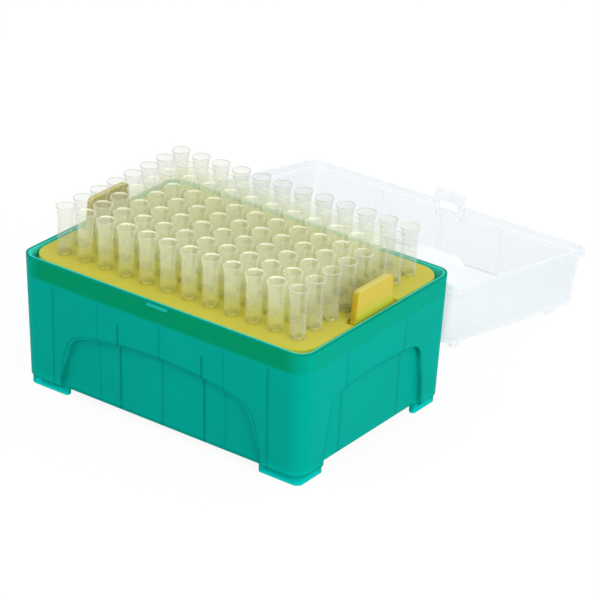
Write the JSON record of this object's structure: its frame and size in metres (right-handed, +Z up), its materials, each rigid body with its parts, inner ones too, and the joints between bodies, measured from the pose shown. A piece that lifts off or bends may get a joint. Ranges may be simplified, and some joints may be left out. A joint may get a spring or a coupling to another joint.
{
  "type": "box of pipette tips",
  "caption": "Footed box with a grid tray of clear pipette tips standing in it and a hinged clear lid swung open at the back.",
  "frame": {"origin": "on the table under the middle of the whole object, with the lid open", "axes": "+Z up, +X along the long side of the box and its hinge, +Y from the front catch towards the hinge and the open lid"},
  "size_m": [0.1246, 0.1772, 0.0671],
  "materials": {
    "base_plastic": "green see-through polypropylene, lightly frosted",
    "tray_plastic": "yellow moulded plastic, satin",
    "lid_plastic": "clear moulded plastic, faintly milky",
    "tip_plastic": "clear polypropylene, slightly milky"
  },
  "bodies": {
    "base": {"base": "base_plastic", "tray": "tray_plastic", "tip_1_1": "tip_plastic", "tip_2_1": "tip_plastic", "tip_3_1": "tip_plastic", "tip_4_1": "tip_plastic", "tip_5_1": "tip_plastic", "tip_6_1": "tip_plastic", "tip_7_1": "tip_plastic", "tip_8_1": "tip_plastic", "tip_9_1": "tip_plastic", "tip_10_1": "tip_plastic", "tip_11_1": "tip_plastic", "tip_12_1": "tip_plastic", "tip_1_2": "tip_plastic", "tip_2_2": "tip_plastic", "tip_3_2": "tip_plastic", "tip_4_2": "tip_plastic", "tip_5_2": "tip_plastic", "tip_6_2": "tip_plastic", "tip_7_2": "tip_plastic", "tip_8_2": "tip_plastic", "tip_9_2": "tip_plastic", "tip_10_2": "tip_plastic", "tip_11_2": "tip_plastic", "tip_12_2": "tip_plastic", "tip_1_3": "tip_plastic", "tip_12_3": "tip_plastic", "tip_1_4": "tip_plastic", "tip_12_4": "tip_plastic", "tip_1_5": "tip_plastic", "tip_12_5": "tip_plastic", "tip_1_6": "tip_plastic", "tip_12_6": "tip_plastic", "tip_1_7": "tip_plastic", "tip_2_7": "tip_plastic", "tip_3_7": "tip_plastic", "tip_4_7": "tip_plastic", "tip_5_7": "tip_plastic", "tip_6_7": "tip_plastic", "tip_7_7": "tip_plastic", "tip_8_7": "tip_plastic", "tip_9_7": "tip_plastic", "tip_10_7": "tip_plastic", "tip_11_7": "tip_plastic", "tip_12_7": "tip_plastic", "tip_1_8": "tip_plastic", "tip_2_8": "tip_plastic", "tip_3_8": "tip_plastic", "tip_4_8": "tip_plastic", "tip_5_8": "tip_plastic", "tip_6_8": "tip_plastic", "tip_7_8": "tip_plastic", "tip_8_8": "tip_plastic", "tip_9_8": "tip_plastic", "tip_10_8": "tip_plastic", "tip_11_8": "tip_plastic", "tip_12_8": "tip_plastic"},
    "lid": {"lid": "lid_plastic"}
  },
  "joints": [
    {"name": "lid_hinge", "type": "hinge", "parent": "base", "child": "lid", "pos_m": [0, -0.00024, 0.0453], "axis": [1, 0, 0], "range_deg": [0, 190.3]}
  ]
}
